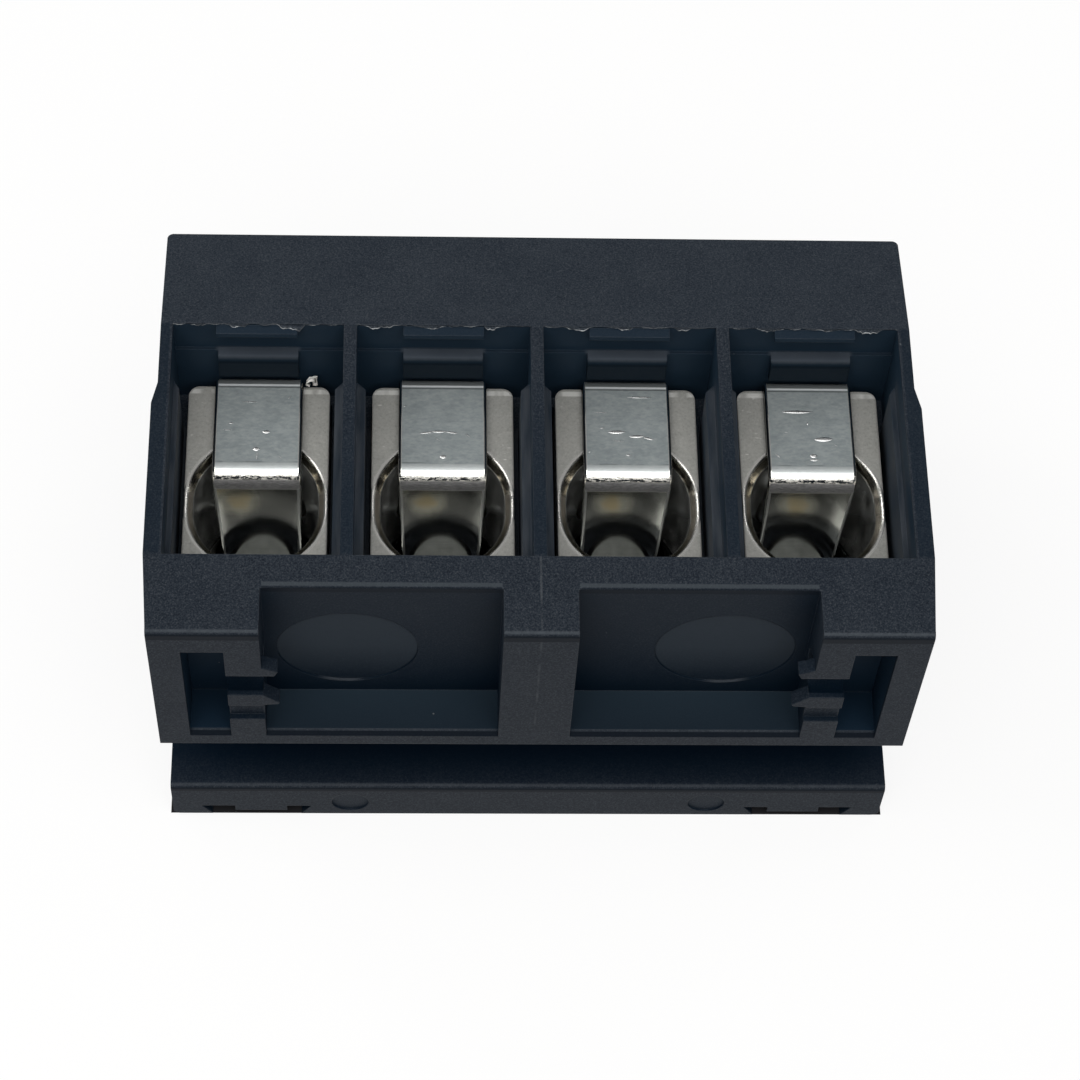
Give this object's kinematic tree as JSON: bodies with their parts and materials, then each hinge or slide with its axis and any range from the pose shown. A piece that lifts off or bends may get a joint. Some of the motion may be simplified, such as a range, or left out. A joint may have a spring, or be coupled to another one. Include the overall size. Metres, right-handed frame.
{
  "type": "removable terminal block",
  "caption": "Black removable terminal block with screw-clamped wire bores under bright wire guards, latch pockets on its front, and socket contacts on its plug-in side.",
  "frame": {"origin": "middle of the plug-in side, on which the block stands", "axes": "+X along the poles, +Y from the latch pockets toward the driver holes, +Z the way the wire mouths face"},
  "size_m": [0.0414, 0.026, 0.0217],
  "materials": {
    "housing_plastic": "fine satin, black with a blue cast",
    "nickel_block": "matte nickel plating, brushed",
    "nickel_leaf": "bright nickel plating with short scratches",
    "screw_steel": "plated steel",
    "contact_alloy": "plain",
    "spring_steel": "plain"
  },
  "bodies": {
    "housing": {"housing": "housing_plastic", "clamp_block_1": "nickel_block", "clamp_block_2": "nickel_block", "clamp_block_3": "nickel_block", "clamp_block_4": "nickel_block", "socket_contact_1": "contact_alloy", "socket_contact_2": "contact_alloy", "socket_contact_3": "contact_alloy", "socket_contact_4": "contact_alloy", "contact_spring_1": "spring_steel", "contact_spring_2": "spring_steel", "contact_spring_3": "spring_steel", "contact_spring_4": "spring_steel"},
    "guard_1": {"wire_guard_1": "nickel_leaf"},
    "screw_1": {"clamp_screw_1": "screw_steel"},
    "guard_2": {"wire_guard_2": "nickel_leaf"},
    "screw_2": {"clamp_screw_2": "screw_steel"},
    "guard_3": {"wire_guard_3": "nickel_leaf"},
    "screw_3": {"clamp_screw_3": "screw_steel"},
    "guard_4": {"wire_guard_4": "nickel_leaf"},
    "screw_4": {"clamp_screw_4": "screw_steel"}
  },
  "joints": [
    {"name": "screw_feed_1", "type": "slide", "parent": "housing", "child": "guard_1", "axis": [0, -1, 0], "range_m": [0, 0.0032], "deforming": ["wire_guard_1"]},
    {"name": "screw_turn_1", "type": "hinge", "parent": "guard_1", "child": "screw_1", "pos_m": [-0.01524, 0, 0.0115], "axis": [0, -1, 0], "range_deg": [0, 1440]},
    {"name": "screw_feed_2", "type": "slide", "parent": "housing", "child": "guard_2", "axis": [0, -1, 0], "range_m": [0, 0.0032], "deforming": ["wire_guard_2"]},
    {"name": "screw_turn_2", "type": "hinge", "parent": "guard_2", "child": "screw_2", "pos_m": [-0.00508, 0, 0.0115], "axis": [0, -1, 0], "range_deg": [0, 1440]},
    {"name": "screw_feed_3", "type": "slide", "parent": "housing", "child": "guard_3", "axis": [0, -1, 0], "range_m": [0, 0.0032], "deforming": ["wire_guard_3"]},
    {"name": "screw_turn_3", "type": "hinge", "parent": "guard_3", "child": "screw_3", "pos_m": [0.00508, 0, 0.0115], "axis": [0, -1, 0], "range_deg": [0, 1440]},
    {"name": "screw_feed_4", "type": "slide", "parent": "housing", "child": "guard_4", "axis": [0, -1, 0], "range_m": [0, 0.0032], "deforming": ["wire_guard_4"]},
    {"name": "screw_turn_4", "type": "hinge", "parent": "guard_4", "child": "screw_4", "pos_m": [0.01524, 0, 0.0115], "axis": [0, -1, 0], "range_deg": [0, 1440]}
  ],
  "couplings": [
    {"joint": "screw_turn_1", "follows": "screw_feed_1", "rad_per_m": 7854},
    {"joint": "screw_turn_2", "follows": "screw_feed_2", "rad_per_m": 7854},
    {"joint": "screw_turn_3", "follows": "screw_feed_3", "rad_per_m": 7854},
    {"joint": "screw_turn_4", "follows": "screw_feed_4", "rad_per_m": 7854}
  ]
}
